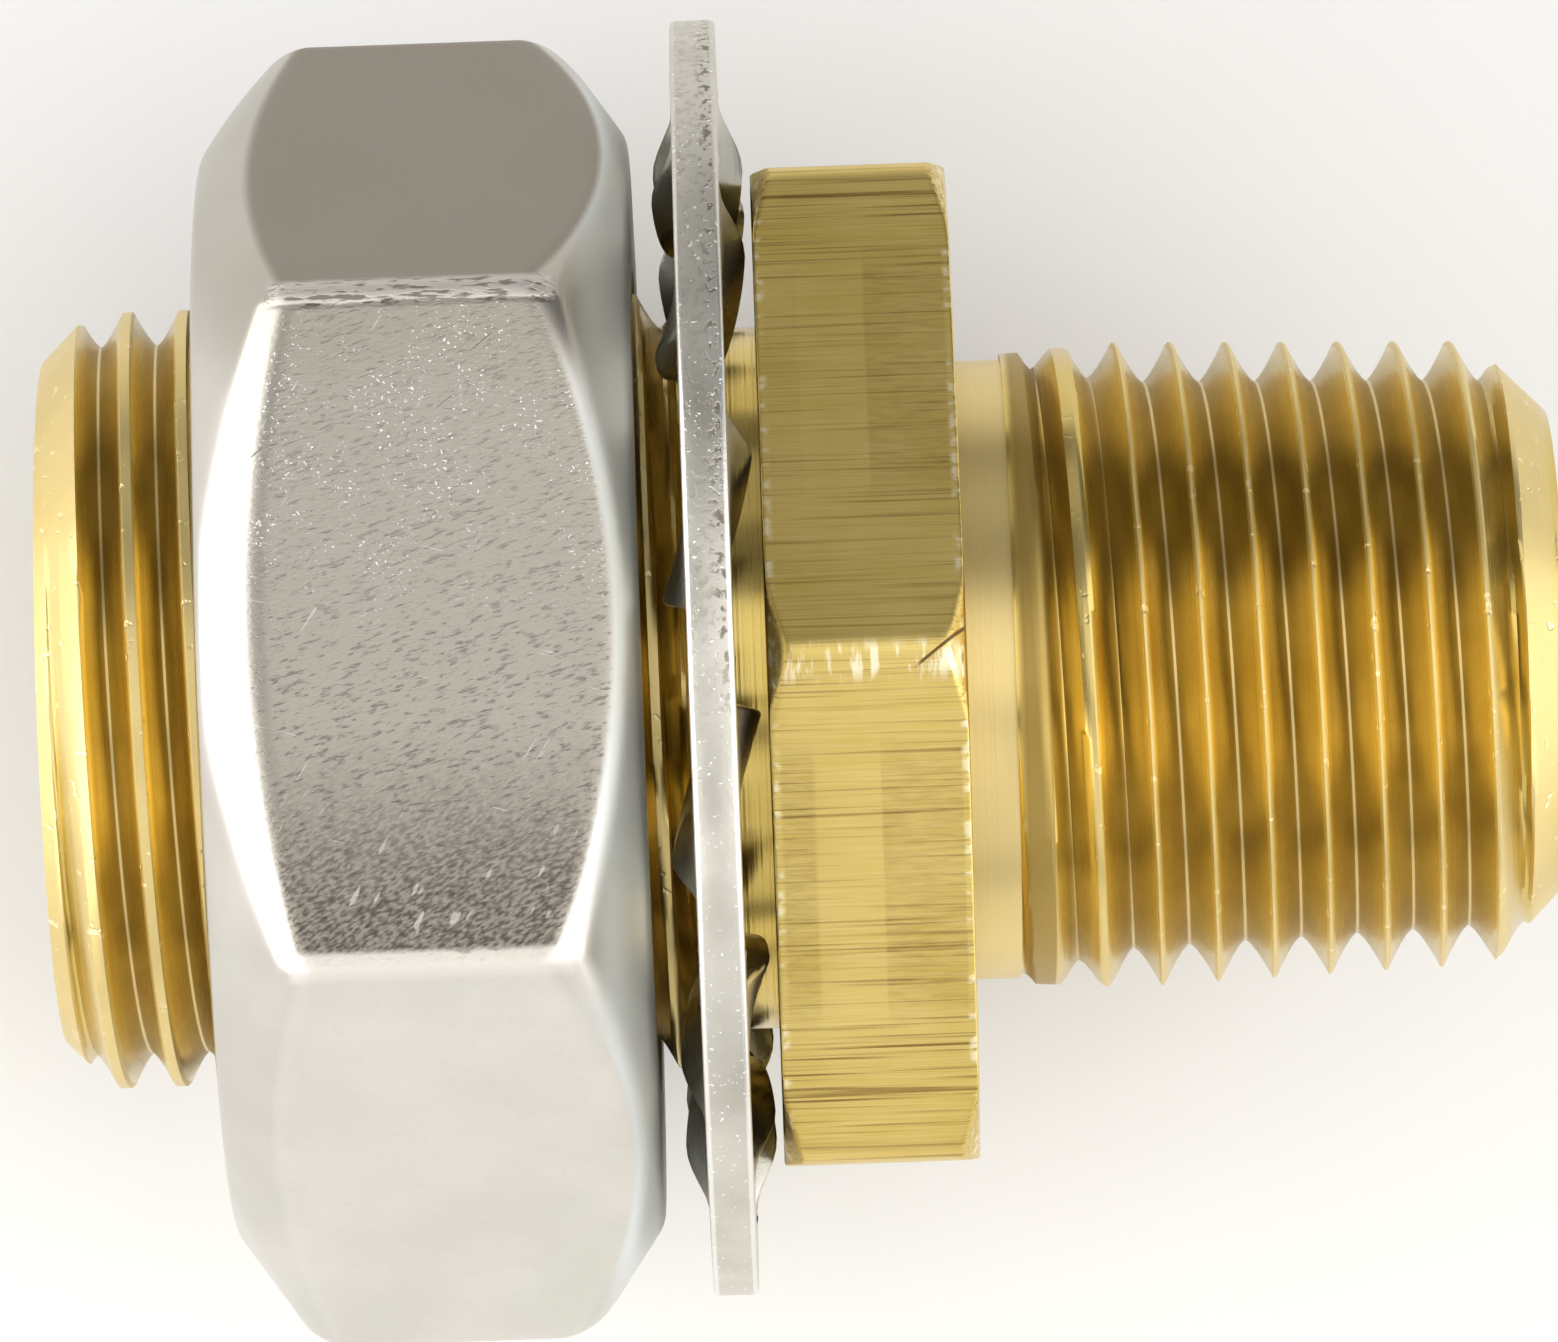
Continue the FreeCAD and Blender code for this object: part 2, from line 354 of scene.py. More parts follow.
def nut_grids():
    """Grids of the lock nut in order round its section: outside, inner face, thread and outer face."""
    angle = crowded_angles(NUT_COLUMNS, NUT_CORNER)
    middle = np.linspace(nut_low[0] + NUT_MIDDLE_INSET, nut_high[0] - NUT_MIDDLE_INSET, NUT_MIDDLE_ROWS)
    x = np.concatenate([nut_low[0] + NUT_EDGE_ROWS, middle, nut_high[0] - NUT_EDGE_ROWS[::-1]])[:, None]
    outside = ring_points(x, nut_radius(x, angle), angle)
    turns = int((nut_high[0] - nut_low[0]) / PITCH)
    start = (nut_low[0] + nut_high[0] - turns * PITCH) / 2
    thread = helix_grids(start, turns, angle, BULKHEAD_CREST_AT, BULKHEAD_CREST_FLAT, nut_thread_radius)
    mouth = BULKHEAD_CREST + NUT_BORE_GAP + NUT_COUNTERSINK
    inner_mouth = between(lathe([(nut_high[0], mouth)], angle)[0], thread[-1][-1], rows=2)
    outer_mouth = between(thread[0][0], lathe([(nut_low[0], mouth)], angle)[0], rows=2)
    inner_face = between(outside[-1], inner_mouth[0], rows=5)
    outer_face = between(outer_mouth[-1], outside[0], rows=5)
    bore = [grid[::-1] for grid in reversed(thread)]
    return [outside, inner_face, inner_mouth, *bore, outer_mouth, outer_face]


def tooth_outline(along):
    """Inside edge of the washer over one tooth, as (side, height) about the tooth's ray.

    The parameter runs from -1 to 1, slot to slot: a round slot bottom, a straight side from root to belly,
    an arc over the tip, and the same back.
    """
    half_pitch = TURN / TOOTH_COUNT / 2
    root_half = WASHER_ROOT * math.tan(half_pitch) - SLOT_WIDTH / 2 / math.cos(half_pitch)
    belly_half = TOOTH_BELLY_WIDTH / 2
    belly = WASHER_ROOT - TOOTH_LENGTH * TOOTH_BELLY_PLACE
    rise = TOOTH_LENGTH * (1 - TOOTH_BELLY_PLACE)
    arc_radius = (rise ** 2 + belly_half ** 2) / (2 * rise)
    arc_end = math.asin(belly_half / arc_radius)
    far = np.abs(along)
    arc = np.clip(far / TIP_SHARE, 0, 1) * arc_end
    side = arc_radius * np.sin(arc)
    height = WASHER_ROOT - TOOTH_LENGTH + arc_radius * (1 - np.cos(arc))
    flank = np.clip((far - TIP_SHARE) / FLANK_SHARE, 0, 1)
    side = side + (root_half - belly_half) * flank
    height = height + (WASHER_ROOT - belly) * flank
    slot_start = TIP_SHARE + FLANK_SHARE
    slot = np.clip((far - slot_start) / (1 - slot_start), 0, 1) * TURN / 4
    corner_angle = math.atan2(root_half, WASHER_ROOT)
    corner_radius = math.hypot(root_half, WASHER_ROOT)
    slot_angle = corner_angle + (half_pitch - corner_angle) * (1 - np.cos(slot))
    slot_radius = corner_radius + SLOT_SINK * np.sin(slot)
    in_slot = far > slot_start
    side = np.where(in_slot, slot_radius * np.sin(slot_angle), side)
    height = np.where(in_slot, slot_radius * np.cos(slot_angle), height)
    return np.sign(along) * side, height


def twisted_washer(side, height, rise):
    """Turns points of one tooth about its ray: not at all on the rim, and fully from the belly to the tip."""
    belly_depth = TOOTH_LENGTH * TOOTH_BELLY_PLACE
    share = np.clip((WASHER_ROOT + TWIST_START - height) / (belly_depth + TWIST_START), 0, 1)
    twist = TOOTH_TWIST * share ** 2 * (3 - 2 * share)
    x = rise * np.cos(twist) - side * np.sin(twist)
    return x, side * np.cos(twist) + rise * np.sin(twist)


def washer_grids():
    """One grid for each tooth of the lock washer: columns go across the tooth, rows go round the section.

    Each column is a line from the inside edge, moved in along its normal, to the rim; the rows carry it over
    the rim, down the inner face, round the inside edge and up the outer face.
    """
    along = np.linspace(-1, 1, TOOTH_COLUMNS)
    side, height = tooth_outline(along)
    step_side = np.gradient(side)
    step_height = np.gradient(height)
    length = np.hypot(step_side, step_height)
    normal_side = -step_height / length
    normal_height = step_side / length
    rim_angle = along * TURN / TOOTH_COUNT / 2
    half = WASHER_THICKNESS / 2
    bend = WASHER_EDGE * (1 - math.sqrt(0.5))
    edge = [(0, WASHER_EDGE), (bend, bend), (WASHER_EDGE, 0)]
    rows = [(1, inset, half - drop) for inset, drop in edge]
    rows += [(share, WASHER_EDGE, half) for share in reversed(WASHER_FACE_ROWS)]
    rows += [(0, inset, half - drop) for inset, drop in reversed(edge)]
    rows += [(0, inset, drop - half) for inset, drop in edge]
    rows += [(share, WASHER_EDGE, -half) for share in WASHER_FACE_ROWS]
    rows += [(1, inset, drop - half) for inset, drop in reversed(edge)]
    rows.append(rows[0])
    share, inset, rise = (np.array(column)[:, None] for column in zip(*rows))
    inner_inset = np.where(share < 1, inset, WASHER_EDGE)
    inner_side = side + normal_side * inner_inset
    inner_height = height + normal_height * inner_inset
    rim_radius = WASHER_RIM - np.where(share < 1, WASHER_EDGE, inset)
    rim_side = rim_radius * np.sin(rim_angle)
    rim_height = rim_radius * np.cos(rim_angle)
    flat_side = inner_side + (rim_side - inner_side) * share
    flat_height = inner_height + (rim_height - inner_height) * share
    x, turned_side = twisted_washer(flat_side, flat_height, rise)
    middle = -np.arange(TOOTH_COUNT)[:, None, None] * TURN / TOOTH_COUNT - WASHER_TURN
    y = flat_height * np.sin(middle) - turned_side * np.cos(middle)
    z = flat_height * np.cos(middle) + turned_side * np.sin(middle)
    teeth = np.stack([np.broadcast_to(x, y.shape), y, z], -1) + WASHER_MIDDLE
    return list(teeth)


def welded(grids):
    """Joins grids that share edges: equal points become one, and a face that loses a side is closed up."""
    points = []
    quads = []
    count = 0
    for grid in grids:
        rows, columns = grid.shape[:2]
        index = count + np.arange(rows * columns).reshape(rows, columns)
        corners = [index[:-1, :-1], index[:-1, 1:], index[1:, 1:], index[1:, :-1]]
        quads.append(np.stack(corners, -1).reshape(-1, 4))
        points.append(grid.reshape(-1, 3))
        count += rows * columns
    points = np.concatenate(points)
    keys = np.round(points / WELD).astype(np.int64)
    _, first, same = np.unique(keys, axis=0, return_index=True, return_inverse=True)
    quads = same.reshape(-1)[np.concatenate(quads)]
    kept = quads != np.roll(quads, 1, axis=1)
    faces = kept.sum(1) > 2
    return points[first], quads[faces], kept[faces]


def make_piece(name, grids, body, node, material, sharp):
    """Mesh object in the part's frame that stands for a node and moves with its body."""
    points, quads, kept = welded(grids)
    sizes = kept.sum(1)
    mesh = bpy.data.meshes.new(name)
    mesh.vertices.add(len(points))
    mesh.vertices.foreach_set("co", (points * MM).ravel())
    mesh.loops.add(int(sizes.sum()))
    mesh.loops.foreach_set("vertex_index", quads[kept].astype(np.int32))
    mesh.polygons.add(len(sizes))
    mesh.polygons.foreach_set("loop_start", (np.cumsum(sizes) - sizes).astype(np.int32))
    mesh.polygons.foreach_set("use_smooth", np.ones(len(sizes), bool))
    mesh.update(calc_edges=True)
    mesh.set_sharp_from_angle(angle=math.radians(sharp))
    mesh.materials.append(material)
    piece = bpy.data.objects.new(name, mesh)
    bpy.context.scene.collection.objects.link(piece)
    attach(piece, body)
    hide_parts(node)


class Wire:
    """A socket in a material's tree: arithmetic on it adds Math nodes, and node adds any other kind."""

    def __init__(self, tree, socket=None):
        self.tree = tree
        self.socket = socket

    def node(self, kind, settings, inputs, output=0):
        """Adds a node, sets its settings first and then its inputs, and gives one of its outputs."""
        new = self.tree.nodes.new("ShaderNode" + kind)
        for name, value in settings.items():
            setattr(new, name, value)
        for place, value in inputs.items():
            if isinstance(value, Wire):
                self.tree.links.new(value.socket, new.inputs[place])
            else:
                new.inputs[place].default_value = value
        return Wire(self.tree, new.outputs[output])

    def math(self, operation, *values):
        return self.node("Math", {"operation": operation}, dict(enumerate(values)))

    def __add__(self, other):
        return self.math("ADD", self, other)

    def __radd__(self, other):
        return self.math("ADD", other, self)

    def __sub__(self, other):
        return self.math("SUBTRACT", self, other)

    def __rsub__(self, other):
        return self.math("SUBTRACT", other, self)

    def __mul__(self, other):
        return self.math("MULTIPLY", self, other)

    def __rmul__(self, other):
        return self.math("MULTIPLY", other, self)

    def __truediv__(self, other):
        return self.math("DIVIDE", self, other)

    def __rtruediv__(self, other):
        return self.math("DIVIDE", other, self)

    def __pow__(self, other):
        return self.math("POWER", self, other)

    def __abs__(self):
        return self.math("ABSOLUTE", self)

    def rise(self, start, end):
        """0 before the start, 1 past the end and a smooth step between, also where the end is the lower."""
        return self.node("MapRange", {"interpolation_type": "SMOOTHSTEP"}, {0: self, 1: start, 2: end})

    def band(self, low, high, soft):
        """1 between two values and 0 outside, over soft edges."""
        return self.rise(low - soft, low + soft) * self.rise(high + soft, high - soft)

    def mix(self, first, second):
        """Goes from the first colour to the second as this value goes from 0 to 1."""
        inputs = {0: self, 6: first, 7: second}
        return self.node("Mix", {"data_type": "RGBA"}, inputs, 2)


class Metal:
    """A metal surface in the part's own millimetres, with its place and its radius about the axis."""

    def __init__(self, name):
        self.material = bpy.data.materials.new(name)
        self.material.use_nodes = True
        self.tree = self.material.node_tree
        wire = Wire(self.tree)
        metres = wire.node("TexCoord", {}, {}, "Object")
        self.place = wire.node("VectorMath", {"operation": "SCALE"}, {0: metres, 3: 1 / MM})
        self.x, self.y, self.z = (wire.node("SeparateXYZ", {}, {0: self.place}, axis) for axis in "XYZ")
        self.radius = (self.y * self.y + self.z * self.z) ** 0.5

    def noise(self, cells, detail, place=None):
        """Noise from 0 to 1 with this many cells to the millimetre along X, Y and Z."""
        source = place or self.place
        stretched = source.node("VectorMath", {"operation": "MULTIPLY"}, {0: source, 1: cells})
        return source.node("TexNoise", {}, {"Vector": stretched, "Scale": 1.0, "Detail": detail})

    def slanted(self, angle):
        """The place turned about Z, so that marks drawn out along X run at this angle to it."""
        inputs = {"Vector": self.place, "Angle": math.radians(-angle)}
        return self.place.node("VectorRotate", {"rotation_type": "Z_AXIS"}, inputs)

    def scratches(self, angle, length, width, rarity=0.76):
        """Short straight scratches at an angle to X, fewer of them the higher the rarity."""
        cells = (1 / length, 1 / width, 1 / length)
        return self.noise(cells, 1.0, self.slanted(angle)).rise(rarity, rarity + 0.04)

    def rings(self, cells):
        """Turning marks: noise that changes only along X and with the radius."""
        section = self.place.node("CombineXYZ", {}, {0: self.x, 1: self.radius})
        return self.noise((cells, cells, 1), 3.0, section)

    def finish(self, colour, roughness, height, depth):
        """Connects the colour, roughness and height; the height's 0 to 1 is this deep in millimetres."""
        shader = self.tree.nodes["Principled BSDF"]
        shader.inputs["Metallic"].default_value = 1
        bump = self.place.node("Bump", {}, {"Strength": 1.0, "Distance": depth * MM, "Height": height})
        for name, wire in (("Base Color", colour), ("Roughness", roughness), ("Normal", bump)):
            self.tree.links.new(wire.socket, shader.inputs[name])
        return self.material


# Colours of the brass
BRASS_DEEP = (0.62, 0.455, 0.12, 1)
BRASS_CLEAR = (0.69, 0.52, 0.165, 1)
BRASS_BRIGHT_LINE = (0.84, 0.68, 0.32, 1)
BRASS_DARK_LINE = (0.27, 0.17, 0.05, 1)
BRASS_RUBBED_HIGHLIGHT = (0.98, 0.90, 0.64, 1)
BRASS_NECK = (0.83, 0.70, 0.40, 1)
BRASS_GROOVE_GRIME_AND_SHADE = (0.19, 0.11, 0.035, 1)
BRASS_ROOT_HIGHLIGHT = (0.72, 0.57, 0.30, 1)
BRASS_CREST_HIGHLIGHT = (0.93, 0.80, 0.50, 1)
BRASS_SCRATCH = (0.16, 0.10, 0.04, 1)

# Marks on the brass hexagon: stretches along X, places along Y, and the height of the top corner
BAR_SKIN_INSET = 0.06
SEAT_JAW = (0.3, 1.35)
PIPE_JAW = (3.45, 6.0)
JAW_MARKS = (4.2, 12.0)
TORN_LINES = (12.6, 15.0)
SEAT_BURR = (0.4, 0.15)
PIPE_BURR = (HEX_LENGTH - 0.35, HEX_LENGTH - 0.15)
# Place along Y of the painted highlight on the top corner
RUBBED_HIGHLIGHT_BAND = (-2.0, -1.0)
TOP_CORNER = (16.4, 16.8)
SCRATCH_X = 4.7
SCRATCH_Y = -1.7
SCRATCH_ALONG_X = 0.79
SCRATCH_ALONG_Y = 0.61
SCRATCH_LENGTH = 2.0

# Marks on the brass threads: the first land's width, and the depth of the crests' painted highlight
FIRST_LAND = 1.1
CREST_SKIN = (0.22, 0.06)
BRASS_MARK_DEPTH = 0.012


def brass_material():
    """Brass: draw lines and clamp marks on the hexagon, with a painted highlight on rubbed marks at its top
    corner and on its burred rims, turning marks, grooves darkened by painted shade and grime, and nicked
    crests and pale roots that are painted highlights.
    """
    metal = Metal("brass")
    x, y, z, radius = metal.x, metal.y, metal.z, metal.radius
    cloud = metal.noise((0.3, 0.3, 0.3), 3.0)
    colour = cloud.rise(0.3, 0.7).mix(BRASS_DEEP, BRASS_CLEAR)

    # hexagon: the bar's drawn skin, two rows of clamp marks, torn lines, and a painted highlight on rubbed
    # marks at the top corner and on the burred rims
    on_bar = x.band(BAR_SKIN_INSET, HEX_LENGTH - BAR_SKIN_INSET, 0.04)
    on_bar = on_bar * radius.rise(BULKHEAD_CREST + 1, BULKHEAD_CREST + 2)
    lines = metal.noise((0.12, 9, 9), 3.0)
    fine_lines = metal.noise((0.3, 22, 22), 2.0)
    stain = metal.noise((1.2, 7, 7), 5.0)
    jaws = x.band(*SEAT_JAW, 0.1) * (0.35 + 0.65 * y.rise(2, -2)) + x.band(*PIPE_JAW, 0.06)
    clamped = jaws * abs(y).band(*JAW_MARKS, 0.8) * (0.35 + 0.65 * stain.rise(0.35, 0.7))
    torn = lines.rise(0.46, 0.66) * abs(y).band(*TORN_LINES, 0.5)
    dark_lines = on_bar * (lines.rise(0.52, 0.72) * 0.62 + clamped * 0.33 + torn * 0.4)
    colour = (on_bar * fine_lines.rise(0.4, 0.75) * 0.3).mix(colour, BRASS_BRIGHT_LINE)
    colour = dark_lines.mix(colour, BRASS_DARK_LINE)
    on_top_corner = on_bar * z.rise(*TOP_CORNER)
    rubbed = metal.noise((3.5, 0.7, 0.7), 3.0).rise(0.48, 0.62)
    rubbed_corner_highlight = on_top_corner * y.band(*RUBBED_HIGHLIGHT_BAND, 0.3) * rubbed
    rims = x.rise(*SEAT_BURR) + x.rise(*PIPE_BURR)
    burr_and_highlight = rims * on_bar * metal.noise((1.2, 2.2, 2.2), 4.0).rise(0.5, 0.62)
    # Rubbed marks on the top corner and the burred rims are painted near white: painted highlight
    colour = (rubbed_corner_highlight * 0.85 + burr_and_highlight * 0.6).mix(colour, BRASS_RUBBED_HIGHLIGHT)

    # threads: painted shade and grime darken the grooves by the depth below the crests, the first land has a
    # darker finish, and painted highlights make the roots and the chipped crests pale
    pipe_side = x.rise(-1, 1)
    taper = PIPE_CREST + FULL_THREAD * PIPE_TAPER - x * PIPE_TAPER
    crest = BULKHEAD_CREST + pipe_side * (taper - BULKHEAD_CREST)
    crest = crest.math("MINIMUM", crest, x + (BULKHEAD_CREST - BULKHEAD_CHAMFER - BULKHEAD_END))
    crest = crest.math("MINIMUM", crest, PIPE_SMALL_END - PIPE_CHAMFER + PIPE_END - x)
    threaded = x.rise(-RELIEF_WIDTH, -RELIEF_WIDTH - 1) + x.rise(NECK_END, NECK_END + 0.3)
    outside = threaded * radius.rise(BORE + 1.5, BORE + 2)
    full_depth = BULKHEAD_DEPTH + (PIPE_DEPTH - BULKHEAD_DEPTH) * pipe_side
    share = (crest - radius) / full_depth
    depth = share.rise(0.05, 0.9) * outside
    grime = metal.noise((0.5, 0.5, 0.5), 4.0).rise(0.2, 0.8)
    on_neck = x.band(HEX_LENGTH, NECK_END, 0.02)
    colour = (on_neck * 0.5).mix(colour, BRASS_NECK)
    first_land = x.band(NECK_END, NECK_END + FIRST_LAND, 0.02) * outside
    # Groove darkening is painted shade mixed with grime; the first land's darker finish uses the same colour
    colour = (depth * (0.25 + 0.2 * grime) + first_land * 0.5).mix(colour, BRASS_GROOVE_GRIME_AND_SHADE)
    # Pale roots and chipped pale crests: painted highlights
    on_root = share.rise(0.965, 0.995) * outside
    colour = (on_root * 0.5).mix(colour, BRASS_ROOT_HIGHLIGHT)
    chips = metal.noise((2.2, 2.2, 2.2), 2.0).rise(0.63, 0.72)
    on_crest = (crest - radius).rise(*CREST_SKIN) * outside
    colour = (on_crest * (0.3 + 0.5 * chips)).mix(colour, BRASS_CREST_HIGHLIGHT)

    # one long scratch across the hexagon's top corner
    from_x = x - SCRATCH_X
    from_y = y - SCRATCH_Y
    along = from_x * SCRATCH_ALONG_X + from_y * SCRATCH_ALONG_Y
    aside = from_y * SCRATCH_ALONG_X - from_x * SCRATCH_ALONG_Y
    scratch = along.band(0, SCRATCH_LENGTH, 0.2) * abs(aside).rise(0.07, 0.03) * on_top_corner
    colour = scratch.mix(colour, BRASS_SCRATCH)

    turned = metal.rings(7.0) * (1 - on_bar)
    height = on_bar * (lines * 0.5 + fine_lines * 0.5) + turned * 0.6
    height = height - on_crest * chips * 1.5 - scratch + burr_and_highlight
    roughness = 0.15 + 0.08 * cloud + on_bar * (0.12 + 0.12 * lines) + depth * 0.12 + dark_lines * 0.15
    roughness = roughness + on_neck * 0.18 + first_land * 0.22 + on_crest * 0.2
    return metal.finish(colour, roughness, height, BRASS_MARK_DEPTH)


# Colours of the nut's zinc plate
NUT_DULL = (0.57, 0.545, 0.495, 1)
NUT_CLEAR = (0.65, 0.625, 0.575, 1)
NUT_ROSY = (0.60, 0.53, 0.50, 1)
NUT_GREENISH = (0.50, 0.53, 0.46, 1)
NUT_BACK_SIDE_SHADE = (0.33, 0.295, 0.235, 1)
NUT_BACK_FLAT_SHADE = (0.25, 0.215, 0.17, 1)
NUT_FRONT_FLAT_LIGHT = (0.78, 0.75, 0.68, 1)
NUT_TOP_FLAT_SHADE = (0.40, 0.37, 0.31, 1)
NUT_INNER_CONE_REFLECTION = (0.80, 0.84, 0.84, 1)
NUT_PIT = (0.17, 0.15, 0.13, 1)
NUT_GLINT = (0.96, 0.95, 0.93, 1)
NUT_WORN_DARK = (0.085, 0.07, 0.055, 1)
NUT_WORN_LIGHT = (0.33, 0.30, 0.25, 1)
NUT_LIGHT_SCRATCH = (0.72, 0.68, 0.63, 1)
NUT_DARK_SCRATCH = (0.16, 0.14, 0.12, 1)
NUT_RIDGE_HIGHLIGHT = (0.74, 0.70, 0.64, 1)
NUT_TORN = (0.16, 0.135, 0.105, 1)

# Places on the nut where the finish and the painted light and shade change, and the torn ridges along the
# upper flat's two edges
FLAT_SKIN = (NUT_FLATS / 2 - 0.14, NUT_FLATS / 2 - 0.03)
BACK_SIDE = (NUT_FLATS / 2 - 3.5, NUT_FLATS / 2 - 1)
INNER_CONE = (nut_high[0] - 2.2, nut_high[0] - 1)
RIDGE_ENDS = (nut_low[0] + 2.7, nut_high[0] - 2.3)
RIDGE_SIDES = (10.1, 10.95)
RIDGE_HEIGHT = (17.2, 17.7)
NUT_MARK_DEPTH = 0.02


def nut_material():
    """Zinc plate on the nut: glossy cones and dull flats, toned by painted shade at the back and on the upper
    flat and by painted light on the front flat; the upper flat with painted glints, pits and wear and a
    painted highlight on its ridges; a painted reflection on the inner cone.
    """
    metal = Metal("nut_zinc_plate")
    x, y, z = metal.x, metal.y, metal.z
    back = y * math.cos(SIXTH / 2) + z * math.sin(SIXTH / 2)
    front = z * math.sin(SIXTH / 2) - y * math.cos(SIXTH / 2)
    outermost = z.math("MAXIMUM", abs(z), z.math("MAXIMUM", abs(back), abs(front)))
    on_top, on_back, on_front, on_flat = (
        outwards.rise(*FLAT_SKIN) for outwards in (z, back, front, outermost)
    )

    # plate: clouded and tinted in patches; painted shade darkens the back side, the back flat and the upper
    # flat, and painted light brightens the front flat
    cloud = metal.noise((0.22, 0.22, 0.22), 4.0)
    tint = metal.noise((0.12, 0.12, 0.12), 2.0)
    ragged = metal.noise((0.9, 0.9, 0.9), 4.0)
    colour = cloud.rise(0.3, 0.7).mix(NUT_DULL, NUT_CLEAR)
    colour = (tint.rise(0.45, 0.7) * 0.35).mix(colour, NUT_ROSY)
    colour = (tint.rise(0.5, 0.3) * 0.3).mix(colour, NUT_GREENISH)
    colour = (back.rise(*BACK_SIDE) * 0.55).mix(colour, NUT_BACK_SIDE_SHADE)
    colour = (on_back * 0.85).mix(colour, NUT_BACK_FLAT_SHADE)
    colour = (on_front * 0.3).mix(colour, NUT_FRONT_FLAT_LIGHT)
    colour = (on_top * 0.85).mix(colour, NUT_TOP_FLAT_SHADE)

    # upper flat: pits towards the front, painted glints towards the back, and a dark worn end with scratches
    lower = y.rise(6, -8)
    pits = metal.noise((2.8, 9, 9), 4.0, metal.slanted(16)).rise(0.53, 0.72)
    pits = pits * on_flat * (0.07 + on_top * (0.4 + 0.6 * lower))
    colour = (pits * 0.75).mix(colour, NUT_PIT)
    clusters = ragged.rise(0.42, 0.62) * (y + 2 * ragged).rise(0.5, 4.5)
    sparkle = metal.noise((9.5, 9.5, 9.5), 1.0).rise(0.65, 0.71) * on_top * clusters
    colour = sparkle.mix(colour, NUT_GLINT)
    worn = on_top * (y + 2 * ragged).rise(-1.5, -8.5)
    mottle = metal.noise((4.2, 9.5, 9.5), 6.0, metal.slanted(28)).rise(0.34, 0.66)
    colour = (worn * 0.9).mix(colour, mottle.mix(NUT_WORN_DARK, NUT_WORN_LIGHT))
    light_scratches = (metal.scratches(55, 1.6, 0.16) + metal.scratches(-15, 1.8, 0.14)) * on_top
    gouges = metal.scratches(60, 1.1, 0.3, 0.69) * worn
    dark_scratches = metal.scratches(38, 2.6, 0.15) * on_top * (1 - worn)
    colour = (light_scratches * 0.55 + gouges * 0.6).mix(colour, NUT_LIGHT_SCRATCH)
    colour = (dark_scratches * 0.55).mix(colour, NUT_DARK_SCRATCH)

    # ridges: a painted highlight along them, flecked and dark-edged at the back, ragged at the front
    ridge = abs(y).band(*RIDGE_SIDES, 0.12) * z.rise(*RIDGE_HEIGHT) * x.band(*RIDGE_ENDS, 0.2)
    flecks = metal.noise((1.6, 7, 7), 4.0).rise(0.5, 0.62) + (y - 0.4 * ragged).rise(10.05, 9.95)
    fringe = (y - ragged).rise(-10.6, -10.5)
    torn = ridge * (y.rise(0, 1) * flecks + y.rise(0, -1) * fringe)
    colour = (ridge * 0.9).mix(colour, NUT_RIDGE_HIGHLIGHT)
    colour = (torn * 0.7).mix(colour, NUT_TORN)
    # Inner cone: painted reflection, pale and bluish
    inner_cone = x.rise(*INNER_CONE) * (1 - on_flat)
    colour = (inner_cone * 0.75).mix(colour, NUT_INNER_CONE_REFLECTION)

    grain = metal.noise((6, 11, 11), 3.0)
    height = on_flat * grain * 0.45 - pits * 0.45 + sparkle * 0.6 - worn * mottle * 0.35
    height = height - dark_scratches - torn
    roughness = 0.2 + 0.08 * cloud + on_flat * 0.12 + on_back * 0.08 + 0.1 * worn + 0.1 * pits
    roughness = roughness + ridge * 0.22 + inner_cone * 0.3
    return metal.finish(colour, roughness, height, NUT_MARK_DEPTH)


# Colours of the washer's zinc plate
WASHER_DULL = (0.55, 0.52, 0.455, 1)
WASHER_CLEAR = (0.64, 0.61, 0.54, 1)
WASHER_PIT = (0.18, 0.155, 0.12, 1)
WASHER_GLINT = (0.95, 0.94, 0.92, 1)
WASHER_TOOTH_SHADE = (0.17, 0.18, 0.14, 1)

# Places on the washer where the finish and the painted light and shade change, from its middle outwards
RIM_SKIN = (WASHER_RIM - 0.14, WASHER_RIM - 0.04)
RIM_EDGE = (WASHER_THICKNESS / 2 - 0.2, WASHER_THICKNESS / 2 - 0.14)
TOOTH_SKIN = (WASHER_ROOT + 0.2, WASHER_ROOT - 0.8)
WASHER_MARK_DEPTH = 0.02


def washer_material():
    """Zinc plate on the washer: a rim pitted mostly on its +Y half, with painted glints and a painted
    highlight along its edges that fades towards the back, and teeth painted darker as shade, and glossier.
    """
    metal = Metal("washer_zinc_plate")
    x = metal.x - WASHER_MIDDLE[0]
    y = metal.y - WASHER_MIDDLE[1]
    z = metal.z - WASHER_MIDDLE[2]
    radius = (y * y + z * z) ** 0.5
    cloud = metal.noise((0.4, 0.4, 0.4), 4.0)
    colour = cloud.rise(0.3, 0.7).mix(WASHER_DULL, WASHER_CLEAR)
    on_rim = radius.rise(*RIM_SKIN)
    edge = on_rim * abs(x).rise(*RIM_EDGE)
    pits = metal.noise((4.2, 3.4, 3.4), 4.0).rise(0.5, 0.62) * on_rim * (1 - edge)
    beside_edge = 0.25 + 0.75 * x.rise(0, 0.45)
    worn = pits * beside_edge * (y + 6 * cloud).rise(-3, 2)
    speck = metal.noise((6, 6, 6), 1.0).rise(0.68, 0.74) * on_rim
    colour = (worn * 0.8).mix(colour, WASHER_PIT)
    # Specks on the rim are painted glints, and the edges carry a painted highlight that fades towards the
    # back
    colour = (speck + edge * 0.5 * y.rise(16, 4)).mix(colour, WASHER_GLINT)
    # Teeth, between the nut and the hexagon, are painted darker: painted shade
    tooth = radius.rise(*TOOTH_SKIN)
    colour = (tooth * (0.35 + 0.35 * cloud)).mix(colour, WASHER_TOOTH_SHADE)
    height = metal.noise((6, 6, 6), 3.0) * 0.4 - worn + speck * 0.8
    roughness = 0.34 + 0.12 * cloud + 0.15 * worn - 0.08 * edge - 0.14 * tooth
    return metal.finish(colour, roughness, height, WASHER_MARK_DEPTH)


